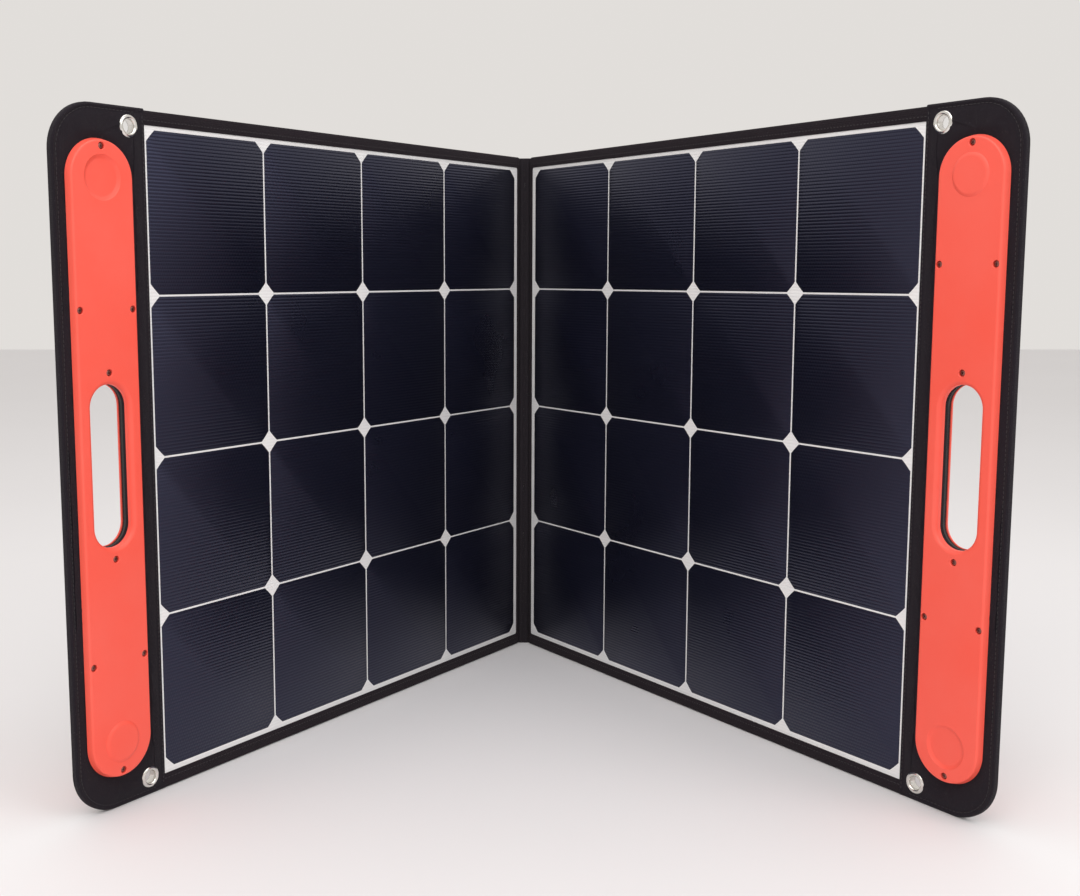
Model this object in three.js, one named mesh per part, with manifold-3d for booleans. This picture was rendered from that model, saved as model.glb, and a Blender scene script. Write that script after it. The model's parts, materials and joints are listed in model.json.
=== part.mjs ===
// Folding portable solar panel: two rigid halves on a fabric spine, standing half open as a V.
//
// Row frame: millimetres, +Z up, the halves open towards -Y, the spine is at the back.
// Each half is drawn in its own flat frame and then turned about its fold line:
//   x  outwards from the fold line (the left half runs towards -x)
//   y  up
//   z  out of the cell side; called "w" below, 0 is the middle of the half's thickness

import * as THREE from 'three';
import { mergeVertices } from 'three/addons/utils/BufferGeometryUtils.js';
import Module from 'manifold-3d';

const wasm = await Module();
wasm.setup();

// ---------------------------------------------------------------- driving dimensions

const FOLD_ANGLE = THREE.MathUtils.degToRad(56);  // each half, from flat, in the stored pose
const FOLD_LINES = 14;                            // between the spine's two fold lines

const HEIGHT = 536.6;              // the handle sleeves, the tallest pieces
const MIDDLE = HEIGHT / 2;
const GAP = 0.3;                   // between pieces that touch

const CELL = 125;
const CELL_GAP = 1.5;
const PITCH = CELL + CELL_GAP;
const CELLS_ACROSS = 4;
const CELLS_UP = 4;
const CELL_CLIP = 8.5;             // the clipped corner of a round-wafer cell
const CELLS_START = 10.6;          // x of the first line between cells
const CELLS_BOTTOM = 15.8;
const CELLS_TOP = CELLS_BOTTOM + CELLS_UP * PITCH;
const CELLS_END = CELLS_START + CELLS_ACROSS * PITCH;

// the window in the edge binding through which the laminate shows
const WINDOW = { left: 6.1, bottom: CELLS_BOTTOM - 3.75, top: CELLS_TOP + 2.45 };

// layers through a half, as [back, front] in w
const FILM = [2.15, 2.6];
const CELLS = [1.45, 1.85];
const BACK_SHEET = [0.75, 1.15];
const CORE = [-1.55, 0.45];
const BACK_COVER = [-2.6, -1.85];
const BINDING_FRONT = 3.4;
const SLEEVE_HALF = 3.4;

const HALF_START = 1.8;            // x of a half's inner edge
const HALF_BOTTOM = 0.6;
const HALF_TOP = 535.2;
const BINDING_WALL = 2.6;          // the binding's width on the edge face

const SLEEVE_START = 516.2;
const SLEEVE_END = 603;
const SLEEVE_CORNER = 36;
const SLEEVE_HEM = 4;              // the sleeve's wall beyond the core board

const HANDLE_X = 564;
const HANDLE_WIDTH = 58.6;
const HANDLE_LENGTH = 485;
const HANDLE_FRONT = 9.7;
const HANDLE_BACK = -7.5;
const HANDLE_CHAMFER = 2.4;
const HAND_HOLE = { halfWidth: 17.5, halfLength: 62, chamfer: 2.2 };

const BOSS_RADIUS = 16;
const BOSS_HEIGHT = 1.2;
const BOSS_OFFSET = 214;           // up and down from the middle of the handle
const RECESS_RADIUS = 17.2;
const RECESS_DEPTH = 1.6;
const MAGNET = { radius: 11, height: 2.2 };

const SCREW = { head: 2.3, headHeight: 1.4, shaft: 1.2, end: -6, sunk: 0.9 };
const SCREW_HOLE = SCREW.shaft + GAP;
const HEAD_HOLE = SCREW.head + 0.5;
const SCREW_COLUMN = 24.3;
const SCREWS_ON_AXIS = [236.8, 70.8, -70.8, -236.8];
const SCREW_PAIRS = [150, -117.5];

const EYELET = { x: 533, rise: 253.8, hole: 5, barrel: 5.6, flange: 9, over: 0.9 };

const STAND = {
  left: 50, right: 250, taper: 18, top: 398, bottom: 62, corner: 14,
  back: -7.2, front: -4.2, foldHeight: 400,
};
const SPINE = { halfWidth: 4.2, halfThickness: 1.2, top: 532.5 };

const POCKET = { left: 290, right: 500, bottom: 140, top: 400, back: -20, wall: 1.2, round: 6 };
const POCKET_FRONT = BACK_COVER[0] - GAP;
const ZIP = { left: 300, right: 490, bottom: 364, top: 384, thickness: 0.7 };
const OUTPUT_BOX = { left: 330, right: 430, bottom: 170, top: 240, back: -16 };

const BIG_RADIUS = 12;             // corners from here up are drawn with more steps
const STEPS = { big: 7, small: 3 };

// ---------------------------------------------------------------- materials

const paint = (color, roughness, metalness = 0) =>
  new THREE.MeshStandardMaterial({ color, roughness, metalness });

const MATERIALS = {
  film: paint(0x2a2c3a, 0.35),
  cells: paint(0x10131f, 0.3),
  backSheet: paint(0xe2e2e4, 0.6),
  board: paint(0x3a3a3c, 0.8),
  fabric: paint(0x26222a, 0.9),
  orange: paint(0xff6a54, 0.5),
  steel: paint(0x9a9a9e, 0.35, 1),
  nickel: paint(0xd6d3cc, 0.2, 1),
  plastic: paint(0x1b1b1d, 0.5),
};

// ---------------------------------------------------------------- solids

// A closed geometry as a solid that can be joined and cut.
function solid(geometry) {
  const bare = geometry.clone();
  bare.deleteAttribute('normal');
  bare.deleteAttribute('uv');
  const welded = mergeVertices(bare, 1e-4);
  return new wasm.Manifold(new wasm.Mesh({
    numProp: 3,
    vertProperties: new Float32Array(welded.attributes.position.array),
    triVerts: new Uint32Array(welded.index.array),
  }));
}

// A solid as a geometry that can be drawn.
function geometryOf(body) {
  const mesh = body.getMesh();
  const geometry = new THREE.BufferGeometry();
  geometry.setAttribute('position', new THREE.BufferAttribute(mesh.vertProperties, 3));
  geometry.setIndex(new THREE.BufferAttribute(mesh.triVerts, 1));
  const faceted = geometry.toNonIndexed();
  faceted.computeVertexNormals();
  return faceted;
}

const cut = (body, tools) => tools.reduce((left, tool) => left.subtract(tool), body);
const join = (bodies) => bodies.reduce((sum, body) => sum.add(body));

function box(x0, x1, y0, y1, w0, w1) {
  const geometry = new THREE.BoxGeometry(Math.abs(x1 - x0), y1 - y0, w1 - w0);
  geometry.translate((x0 + x1) / 2, (y0 + y1) / 2, (w0 + w1) / 2);
  return solid(geometry);
}

function disc(x, y, radius, w0, w1, segments = 16) {
  const geometry = new THREE.CylinderGeometry(radius, radius, w1 - w0, segments);
  geometry.rotateX(Math.PI / 2);
  geometry.translate(x, y, (w0 + w1) / 2);
  return solid(geometry);
}

// A solid turned about w from [radius, w] points that start and end on the axis or close.
function turned(profile, x, y, segments = 12) {
  const geometry = new THREE.LatheGeometry(profile.map(([r, w]) => new THREE.Vector2(r, w)), segments);
  geometry.rotateX(Math.PI / 2);
  geometry.translate(x, y, 0);
  return solid(geometry);
}

// A flat outline pushed through from w0 to w1, with its edges chamfered or rounded at both faces.
function plate(points, w0, w1, edge = 0, steps = 1) {
  const geometry = new THREE.ExtrudeGeometry(new THREE.Shape(points), {
    depth: w1 - w0 - 2 * edge,
    bevelEnabled: edge > 0,
    bevelThickness: edge,
    bevelSize: edge,
    bevelOffset: -edge,
    bevelSegments: steps,
  });
  geometry.translate(0, 0, w0 + edge);
  return solid(geometry);
}

// A four-cornered outline with a radius for each corner, from the lower left round to the upper left.
function rounded(corners, radii) {
  const points = [];
  corners.forEach(([x, y], i) => {
    const here = new THREE.Vector2(x, y);
    const before = new THREE.Vector2(...corners[(i + 3) % 4]).sub(here).normalize();
    const after = new THREE.Vector2(...corners[(i + 1) % 4]).sub(here).normalize();
    const radius = radii[i];
    const steps = radius < BIG_RADIUS ? STEPS.small : STEPS.big;
    if (radius === 0) {
      points.push(here);
      return;
    }
    const half = Math.acos(before.dot(after)) / 2;
    const middle = before.clone().add(after).normalize().multiplyScalar(radius / Math.sin(half));
    const centre = here.clone().add(middle);
    const reach = radius / Math.tan(half);
    const from = here.clone().addScaledVector(before, reach).sub(centre);
    const to = here.clone().addScaledVector(after, reach).sub(centre);
    const start = from.angle();
    let sweep = to.angle() - start;
    sweep -= Math.round(sweep / (2 * Math.PI)) * 2 * Math.PI;
    for (let k = 0; k <= steps; k += 1) {
      const angle = start + sweep * k / steps;
      const spoke = new THREE.Vector2(Math.cos(angle), Math.sin(angle));
      points.push(centre.clone().addScaledVector(spoke, radius));
    }
  });
  return points;
}

// A rectangle between two x values on one side of the fold line, with round outer corners.
function panelOutline(side, x0, x1, y0, y1, outerRadius, innerRadius = 0) {
  const corners = [[side * x0, y0], [side * x1, y0], [side * x1, y1], [side * x0, y1]];
  return rounded(corners, [innerRadius, outerRadius, outerRadius, innerRadius]);
}

// A slot outline with round ends, upright, about a centre.
function slotOutline(x, y, halfWidth, halfLength, radius = halfWidth) {
  const corners = [
    [x - halfWidth, y - halfLength], [x + halfWidth, y - halfLength],
    [x + halfWidth, y + halfLength], [x - halfWidth, y + halfLength],
  ];
  return rounded(corners, [radius, radius, radius, radius]);
}

// ---------------------------------------------------------------- the handle and what it clamps

// Screw places about the middle of the handle. The left handle is the right one turned end for end.
function screwPlaces(side) {
  const places = SCREWS_ON_AXIS.map((rise) => [0, side * rise]);
  SCREW_PAIRS.forEach((rise) => {
    places.push([-SCREW_COLUMN, side * rise]);
    places.push([SCREW_COLUMN, side * rise]);
  });
  return places.map(([x, y]) => [side * HANDLE_X + x, MIDDLE + y]);
}

function screwHoles(side, w0, w1) {
  return screwPlaces(side).map(([x, y]) => disc(x, y, SCREW_HOLE, w0, w1, 8));
}

// The hand hole through one layer, wider than the throat by a margin.
function handHole(side, w0, w1, margin = 0) {
  const { halfWidth, halfLength } = HAND_HOLE;
  const outline = slotOutline(side * HANDLE_X, MIDDLE, halfWidth + margin, halfLength + margin);
  return plate(outline, w0, w1);
}

// The slanted edge round the hand hole, where the throat widens towards a face.
function handHoleChamfer(side, face, towards) {
  const { halfWidth, halfLength, chamfer } = HAND_HOLE;
  const reach = chamfer * 2;
  const outline = slotOutline(side * HANDLE_X, MIDDLE, halfWidth + reach, halfLength + reach);
  const low = Math.min(face - towards * chamfer, face + towards * reach * 2);
  const high = Math.max(face - towards * chamfer, face + towards * reach * 2);
  return plate(outline, low, high, reach);
}

function handleOutline(side) {
  return slotOutline(side * HANDLE_X, MIDDLE, HANDLE_WIDTH / 2, HANDLE_LENGTH / 2);
}

function handleFrontPlate(side) {
  const back = SLEEVE_HALF + GAP;
  const x = side * HANDLE_X;
  const raised = MIDDLE + side * BOSS_OFFSET;
  const sunken = MIDDLE - side * BOSS_OFFSET;
  const slab = plate(handleOutline(side), back - HANDLE_CHAMFER, HANDLE_FRONT, HANDLE_CHAMFER);
  const boss = turned([
    [0, HANDLE_FRONT - 1], [BOSS_RADIUS, HANDLE_FRONT - 1], [BOSS_RADIUS, HANDLE_FRONT],
    [BOSS_RADIUS - 0.6, HANDLE_FRONT + BOSS_HEIGHT], [0, HANDLE_FRONT + BOSS_HEIGHT],
  ], x, raised, 24);
  const magnetTop = back + GAP + MAGNET.height + GAP;
  const cuts = [
    box(x - HANDLE_WIDTH, x + HANDLE_WIDTH, 0, HEIGHT, back - 2 * HANDLE_CHAMFER, back),
    handHole(side, back - 1, HANDLE_FRONT + 1),
    handHoleChamfer(side, HANDLE_FRONT, 1),
    disc(x, sunken, RECESS_RADIUS, HANDLE_FRONT - RECESS_DEPTH, HANDLE_FRONT + 1, 24),
    disc(x, raised, MAGNET.radius + 2 * GAP, back - 1, magnetTop, 12),
    disc(x, sunken, MAGNET.radius + 2 * GAP, back - 1, magnetTop, 12),
    ...screwHoles(side, back - 1, HANDLE_FRONT + 1),
  ];
  const seat = HANDLE_FRONT - SCREW.sunk - SCREW.headHeight - GAP;
  screwPlaces(side).forEach(([sx, sy]) => {
    cuts.push(disc(sx, sy, HEAD_HOLE, seat, HANDLE_FRONT + 1, 10));
  });
  return cut(slab.add(boss), cuts);
}

function handleBackPlate(side) {
  const front = -SLEEVE_HALF - GAP;
  const x = side * HANDLE_X;
  const slab = plate(handleOutline(side), HANDLE_BACK, front + HANDLE_CHAMFER, HANDLE_CHAMFER);
  return cut(slab, [
    box(x - HANDLE_WIDTH, x + HANDLE_WIDTH, 0, HEIGHT, front, front + 2 * HANDLE_CHAMFER),
    handHole(side, HANDLE_BACK - 1, front + 1),
    handHoleChamfer(side, HANDLE_BACK, -1),
    ...screwHoles(side, SCREW.end - GAP, front + 1),
  ]);
}

function magnet(side, rise) {
  const back = SLEEVE_HALF + 2 * GAP;
  return turned([
    [0, back], [MAGNET.radius - 0.4, back], [MAGNET.radius, back + 0.4],
    [MAGNET.radius, back + MAGNET.height - 0.4], [MAGNET.radius - 0.4, back + MAGNET.height],
    [0, back + MAGNET.height],
  ], side * HANDLE_X, MIDDLE + rise, 12);
}

function screw([x, y]) {
  const top = HANDLE_FRONT - SCREW.sunk;
  const seat = top - SCREW.headHeight;
  return turned([
    [0, SCREW.end], [SCREW.shaft, SCREW.end + 1], [SCREW.shaft, seat], [SCREW.head, seat],
    [SCREW.head, top - 0.5], [SCREW.head * 0.7, top], [0, top],
  ], x, y, 8);
}

// The padded fabric sleeve that wraps the core board's outer end, open towards the laminate.
function handleSleeve(side) {
  const outline = panelOutline(side, SLEEVE_START, SLEEVE_END, 0, HEIGHT, SLEEVE_CORNER);
  const board = panelOutline(side, SLEEVE_START - 10, SLEEVE_END - SLEEVE_HEM,
    SLEEVE_HEM, HEIGHT - SLEEVE_HEM, SLEEVE_CORNER - SLEEVE_HEM);
  const body = plate(outline, -SLEEVE_HALF, SLEEVE_HALF, 1.6);
  const cuts = [
    plate(board, CORE[0] - GAP, CORE[1] + GAP),
    handHole(side, -SLEEVE_HALF - 1, SLEEVE_HALF + 1, GAP),
    ...screwHoles(side, -SLEEVE_HALF - 1, SLEEVE_HALF + 1),
  ];
  eyeletPlaces(side).forEach(([x, y]) => {
    cuts.push(disc(x, y, EYELET.barrel + 2 * GAP, -SLEEVE_HALF - 1, SLEEVE_HALF + 1, 12));
  });
  return cut(body, cuts);
}

function eyeletPlaces(side) {
  return [1, -1].map((end) => [side * EYELET.x, MIDDLE + end * EYELET.rise]);
}

// An eyelet clenched through the sleeve: a barrel with a rolled flange on both faces.
function eyelet([x, y]) {
  const face = SLEEVE_HALF + GAP / 2;
  const rim = face + EYELET.over;
  return turned([
    [EYELET.hole, 0], [EYELET.hole, -rim], [EYELET.flange - 1.2, -rim], [EYELET.flange, -face],
    [EYELET.barrel, -face], [EYELET.barrel, face], [EYELET.flange, face],
    [EYELET.flange - 1.2, rim], [EYELET.hole, rim], [EYELET.hole, 0],
  ], x, y, 16);
}

// ---------------------------------------------------------------- the layers of a half

function coreBoard(side) {
  const outline = panelOutline(side, HALF_START + BINDING_WALL + GAP,
    SLEEVE_END - SLEEVE_HEM - GAP, SLEEVE_HEM + GAP, HEIGHT - SLEEVE_HEM - GAP,
    SLEEVE_CORNER - SLEEVE_HEM);
  const cuts = [
    handHole(side, CORE[0] - 1, CORE[1] + 1, GAP),
    ...screwHoles(side, CORE[0] - 1, CORE[1] + 1),
  ];
  eyeletPlaces(side).forEach(([x, y]) => {
    cuts.push(disc(x, y, EYELET.barrel + 2 * GAP, CORE[0] - 1, CORE[1] + 1, 12));
  });
  return cut(plate(outline, ...CORE), cuts);
}

// One flat layer of the laminate, from inside the binding to the sleeve.
function laminateLayer(side, [back, front]) {
  const inner = HALF_START + BINDING_WALL + GAP;
  const outer = SLEEVE_START - GAP;
  const outline = panelOutline(side, inner, outer, SLEEVE_HEM + GAP, HEIGHT - SLEEVE_HEM - GAP, 0);
  return plate(outline, back, front);
}

function cellOutline(x, y) {
  const near = CELL_GAP / 2;
  const far = PITCH - CELL_GAP / 2;
  const clip = CELL_CLIP;
  return [
    [near + clip, near], [far - clip, near], [far, near + clip], [far, far - clip],
    [far - clip, far], [near + clip, far], [near, far - clip], [near, near + clip],
  ].map(([dx, dy]) => new THREE.Vector2(x + dx, y + dy));
}

// All the cells of one half with the tabs and bus bars that join them into one string.
function cellString(side) {
  const left = side > 0 ? CELLS_START : -CELLS_END;
  const tab = [CELLS[0] + 0.1, CELLS[1] - 0.1];
  const pieces = [];
  for (let column = 0; column < CELLS_ACROSS; column += 1) {
    const x = left + column * PITCH;
    for (let row = 0; row < CELLS_UP; row += 1) {
      const y = CELLS_BOTTOM + row * PITCH;
      pieces.push(plate(cellOutline(x, y), ...CELLS));
      if (row > 0) {
        [0.3, 0.7].forEach((share) => {
          const middle = x + share * PITCH;
          pieces.push(box(middle - 3, middle + 3, y - 2, y + 2, ...tab));
        });
      }
    }
    if (column > 0) {
      const y = column % 2 ? CELLS_TOP - PITCH / 2 : CELLS_BOTTOM + PITCH / 2;
      pieces.push(box(x - 2, x + 2, y - 3, y + 3, ...tab));
    }
  }
  return join(pieces);
}

// Fabric folded over the laminate's three free edges: a wall on the edge and a lip on the face.
function borderBinding(side) {
  const outer = SLEEVE_START - GAP;
  const whole = panelOutline(side, HALF_START, outer, HALF_BOTTOM, HALF_TOP, 0, 5);
  const window = panelOutline(side, WINDOW.left, outer + 5, WINDOW.bottom, WINDOW.top, 0, 2);
  const inside = panelOutline(side, HALF_START + BINDING_WALL, outer + 5,
    SLEEVE_HEM, HEIGHT - SLEEVE_HEM, 0);
  return cut(plate(whole, CORE[0], BINDING_FRONT, 0), [
    plate(window, CORE[0] - 1, BINDING_FRONT + 1),
    plate(inside, CORE[0] - 1, FILM[1] + GAP),
  ]);
}

function backCover(side) {
  const outer = SLEEVE_START - GAP;
  return plate(panelOutline(side, HALF_START, outer, HALF_BOTTOM, HALF_TOP, 0, 5), ...BACK_COVER);
}

function junctionBox(side) {
  const outline = slotOutline(side * 335, 316, 35, 27, 5);
  const slab = plate(outline, -8, POCKET_FRONT + 1.5, 1.5);
  return cut(slab, [box(side * 335 - 50, side * 335 + 50, 280, 350, POCKET_FRONT, 0)]);
}

// ---------------------------------------------------------------- the stands

function standBoard(side) {
  const { left, right, taper, top, bottom, corner, back, front } = STAND;
  const corners = [
    [side * (left + taper), bottom], [side * (right - taper), bottom],
    [side * right, top], [side * left, top],
  ];
  return plate(rounded(corners, [corner, corner, 3, 3]), back, front, 0.7);
}

function standHingeWeb(side) {
  const { left, right, foldHeight } = STAND;
  const outline = panelOutline(side, left, right, foldHeight + 2, foldHeight + 28, 3, 3);
  return plate(outline, POCKET_FRONT - 1, POCKET_FRONT);
}

function standPullTab(side) {
  const middle = side * (STAND.left + STAND.right) / 2;
  const outline = slotOutline(middle, STAND.bottom, 12.5, 26, 5);
  return plate(outline, STAND.back - GAP - 1.2, STAND.back - GAP);
}

// The webbing that limits the stand's swing, folded up behind the closed stand.
function standStrap(side) {
  const middle = side * (STAND.left + STAND.right) / 2;
  return plate(slotOutline(middle, 150, 12.5, 18, 1.5), STAND.front + GAP, POCKET_FRONT);
}

// ---------------------------------------------------------------- the pocket

function pocketShell() {
  const { left, right, bottom, top, back, wall, round } = POCKET;
  const outline = panelOutline(1, left, right, bottom, top, 16, 16);
  const inner = panelOutline(1, left + wall, right - wall, bottom + wall, top - wall, 15, 15);
  const lid = plate(outline, back, POCKET_FRONT + round, round, 2);
  const hollow = plate(inner, back + wall, POCKET_FRONT + round + 4, round - wall, 2);
  const behind = box(left - 9, right + 9, bottom - 9, top + 9, POCKET_FRONT, POCKET_FRONT + 20);
  return cut(lid, [behind, hollow]);
}

function pocketZip() {
  const { left, right, bottom, top, thickness } = ZIP;
  const front = POCKET.back - GAP;
  const tape = plate(panelOutline(1, left, right, bottom, top, 3, 3), front - thickness, front);
  const middle = (bottom + top) / 2;
  const teeth = box(left + 6, right - 6, middle - 2.5, middle + 2.5,
    front - thickness - 1, front - thickness / 2);
  return tape.add(teeth);
}

function zipSlider() {
  const front = POCKET.back - GAP - ZIP.thickness - 1 - GAP;
  const middle = (ZIP.bottom + ZIP.top) / 2;
  const x = ZIP.right - 14;
  const body = plate(slotOutline(x, middle, 5, 6.5, 2), front - 2, front, 0.4);
  const pull = plate(slotOutline(x, middle - 14, 3.5, 15, 2), front - 3.2, front - 1.7, 0.3);
  return body.add(pull);
}

function outputBox() {
  const { left, right, bottom, top, back } = OUTPUT_BOX;
  return plate(panelOutline(1, left, right, bottom, top, 8, 8), back, POCKET_FRONT - GAP, 1.5);
}

function portBlock() {
  const back = OUTPUT_BOX.back - GAP;
  const slab = plate(panelOutline(1, 345, 415, 190, 214, 3, 3), back - 1.8, back, 0.4);
  const sockets = [355, 382].map((x) => box(x, x + 13, 198, 204, back - 3, back - 0.7));
  return cut(slab, sockets);
}

function cableGland() {
  const w = (OUTPUT_BOX.back + POCKET_FRONT) / 2;
  const geometry = new THREE.LatheGeometry([
    [2.8, 0], [5.5, 0], [5.5, 5], [4.6, 6], [4, 18], [2.8, 18], [2.8, 0],
  ].map(([r, y]) => new THREE.Vector2(r, y)), 14);
  geometry.translate(OUTPUT_BOX.right - 20, OUTPUT_BOX.top + GAP, w);
  return solid(geometry);
}

// ---------------------------------------------------------------- assembly

function mesh(name, body, material) {
  const piece = new THREE.Mesh(geometryOf(body), material);
  piece.name = name;
  return piece;
}

// The frame of one half: turned about its fold line, with y up and w out of the cell side.
function halfFrame(side) {
  const fold = new THREE.Group();
  fold.position.x = side * FOLD_LINES / 2;
  fold.rotation.z = -side * FOLD_ANGLE;
  const flat = new THREE.Group();
  flat.rotation.x = Math.PI / 2;
  fold.add(flat);
  return { fold, flat };
}

function half(side) {
  const name = side > 0 ? 'right' : 'left';
  const { fold, flat } = halfFrame(side);
  const add = (part, body, material) => flat.add(mesh(`${name}_${part}`, body, material));

  add('core_board', coreBoard(side), MATERIALS.board);
  add('back_sheet', laminateLayer(side, BACK_SHEET), MATERIALS.backSheet);
  add('cell_string', cellString(side), MATERIALS.cells);
  add('front_film', laminateLayer(side, FILM), MATERIALS.film);
  add('border_binding', borderBinding(side), MATERIALS.fabric);
  add('back_cover', backCover(side), MATERIALS.fabric);
  add('junction_box', junctionBox(side), MATERIALS.plastic);

  add('handle_sleeve', handleSleeve(side), MATERIALS.fabric);
  add('handle_front_plate', handleFrontPlate(side), MATERIALS.orange);
  add('handle_back_plate', handleBackPlate(side), MATERIALS.orange);
  add('upper_magnet', magnet(side, BOSS_OFFSET), MATERIALS.nickel);
  add('lower_magnet', magnet(side, -BOSS_OFFSET), MATERIALS.nickel);
  screwPlaces(side).forEach((place, i) => {
    add(`handle_screw_${i + 1}`, screw(place), MATERIALS.steel);
  });
  eyeletPlaces(side).forEach((place, i) => {
    add(i === 0 ? 'upper_eyelet' : 'lower_eyelet', eyelet(place), MATERIALS.nickel);
  });

  add('stand_board', standBoard(side), MATERIALS.fabric);
  add('stand_hinge_web', standHingeWeb(side), MATERIALS.fabric);
  add('stand_pull_tab', standPullTab(side), MATERIALS.fabric);
  add('stand_strap', standStrap(side), MATERIALS.fabric);

  if (side > 0) {
    flat.add(mesh('cable_pocket', pocketShell(), MATERIALS.fabric));
    flat.add(mesh('pocket_zip', pocketZip(), MATERIALS.plastic));
    flat.add(mesh('zip_slider', zipSlider(), MATERIALS.steel));
    flat.add(mesh('output_box', outputBox(), MATERIALS.plastic));
    flat.add(mesh('port_block', portBlock(), MATERIALS.plastic));
    flat.add(mesh('cable_gland', cableGland(), MATERIALS.plastic));
  }
  return fold;
}

function spine() {
  const { halfWidth, halfThickness, top } = SPINE;
  const outline = slotOutline(0, 0, halfWidth, halfThickness, 1);
  return mesh('spine', plate(outline, 0, top), MATERIALS.fabric);
}

const panel = new THREE.Group();
panel.add(half(-1), half(1), spine());

// The origin is under the middle of the whole, on the surface that it stands on.
panel.updateMatrixWorld(true);
const bounds = new THREE.Box3().setFromObject(panel, true);
const centre = bounds.getCenter(new THREE.Vector3());
panel.position.set(-centre.x, -centre.y, -bounds.min.z);

export default panel;
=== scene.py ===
"""Folding portable solar panel, standing half open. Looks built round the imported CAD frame.

Each half has its own flat frame, as in the CAD source: x outwards from the fold line, z up, and
w out of the cell side. Lengths in it are millimetres; the scene and the UVs are in metres.
"""

import json
import math

import bmesh
import bpy
import numpy as np
from mathutils import Matrix, Vector


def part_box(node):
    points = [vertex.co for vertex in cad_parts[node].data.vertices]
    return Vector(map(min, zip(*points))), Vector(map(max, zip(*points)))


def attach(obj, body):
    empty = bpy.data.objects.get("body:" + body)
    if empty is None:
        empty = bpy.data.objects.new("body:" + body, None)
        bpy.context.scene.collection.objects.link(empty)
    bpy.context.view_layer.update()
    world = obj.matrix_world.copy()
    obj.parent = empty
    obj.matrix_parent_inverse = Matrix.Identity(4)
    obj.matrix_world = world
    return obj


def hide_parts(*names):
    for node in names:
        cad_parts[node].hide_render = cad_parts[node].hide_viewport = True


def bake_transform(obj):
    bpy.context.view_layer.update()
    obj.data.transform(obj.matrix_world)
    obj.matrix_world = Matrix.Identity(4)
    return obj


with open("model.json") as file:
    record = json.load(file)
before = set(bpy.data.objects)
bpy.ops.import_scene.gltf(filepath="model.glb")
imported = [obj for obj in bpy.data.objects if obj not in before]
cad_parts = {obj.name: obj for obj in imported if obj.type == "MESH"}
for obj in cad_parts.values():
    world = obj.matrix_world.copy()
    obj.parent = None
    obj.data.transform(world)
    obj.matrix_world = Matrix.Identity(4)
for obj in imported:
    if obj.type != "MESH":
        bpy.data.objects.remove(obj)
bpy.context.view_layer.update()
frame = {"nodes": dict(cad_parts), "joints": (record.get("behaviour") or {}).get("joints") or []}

MM = 0.001
RNG = np.random.default_rng(7)
JOINTS = {joint["name"]: joint for joint in frame["joints"]}

# camera, from the perspective of the cell grid
CAMERA_FOCAL = 1322.3 / 1080 * 36
CAMERA_SHIFT = (0.0611, -0.0057)
CAMERA_FROM_FOLD = (-18.1, -1449, 412.4)    # from the fold's foot
CAMERA_TURN = (-7.272, 0.089, 1.466)    # pitch, roll and yaw in degrees

CELL = 125
CELL_PITCH = 126.5
CELL_CLIP = 8.5
CELLS = 4
HAND_HOLE = np.array([17.5, 62])    # half its width and half its height
EMBOSS = {"row": 2.7 * MM, "dome": 1.75 * MM}
WINDOW = {"inner": 6.1, "below": 4.5, "above": 3.2}   # binding edge to the cells
WINDOW_CORNERS = [2, 0, 0, 2]
BACK_LIP = {"inner": 10, "width": 11, "rise": 0.75}
TUCK = 3          # how far the layers reach into the sleeve
SLEEVE_GAP = 0.9  # the line of white sheet beside the sleeve
STITCH = {"pitch": 3.4, "length": 2.5, "radius": 0.3}


# ---------------------------------------------------------------- the frame of a half

class Half:
    """One half of the panel, with its flat frame."""

    def __init__(self, name, side, prefix=None):
        self.side = side
        self.prefix = f"{name}_" if prefix is None else prefix
        self.body = f"{name}_panel"
        self.stand = f"{name}_stand"
        joint = JOINTS[f"{name}_fold"]
        flat_end = joint["range_deg"][0 if side < 0 else 1]
        angle = math.radians(abs(flat_end))
        self.origin = np.array([*joint["pos_m"][:2], 0.0])
        self.axes = np.array([[side * math.cos(angle), -math.sin(angle), 0.0], [0.0, 0.0, 1.0],
                              [-side * math.sin(angle), -math.cos(angle), 0.0], ])

    def world(self, points):
        return self.origin + np.asarray(points, float) * MM @ self.axes

    def local(self, points):
        return (np.asarray(points, float) - self.origin) @ self.axes.T / MM

    def part(self, name):
        return self.prefix + name

    def corners(self, name):
        """The vertices of this half's CAD node of that name, in its frame."""
        return self.local([v.co for v in frame["nodes"][self.part(name)].data.vertices])

    def box(self, name):
        """The lowest and highest x, z and w of this half's CAD node of that name."""
        points = self.corners(name)
        return points.min(0), points.max(0)

    def middle(self, name):
        """The middle x and z of this half's CAD node of that name."""
        lo, hi = self.box(name)
        return (lo[:2] + hi[:2]) / 2


HALVES = [Half("left", -1), Half("right", 1)]
POCKET_HALF = Half("right", 1, prefix="")    # the pocket's names have no side in them


# ---------------------------------------------------------------- mesh building

def placed(name, data):
    """A new object in the scene."""
    item = bpy.data.objects.new(name, data)
    bpy.context.scene.collection.objects.link(item)
    return item


def build(name, shape, material, half, smooth=35, node=None, body=None):
    """A closed piece from points and faces in a half's frame, in place of its CAD node or nodes."""
    points, faces = shape
    points = np.asarray(points, float)
    if half.side < 0:
        faces = [face[::-1] for face in faces]    # the left half's frame is mirrored
    name = half.part(name)
    mesh = bpy.data.meshes.new(name)
    mesh.from_pydata(half.world(points).tolist(), [], faces)
    lay_flat(mesh, points)
    turn_outwards(mesh)
    mesh.shade_smooth()
    mesh.set_sharp_from_angle(angle=math.radians(smooth))
    piece = placed(name, mesh)
    if material:
        mesh.materials.append(material)
    if node:
        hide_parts(*map(half.part, node.split()))
    if body != "none":
        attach(piece, body or half.body)
    return piece


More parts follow.
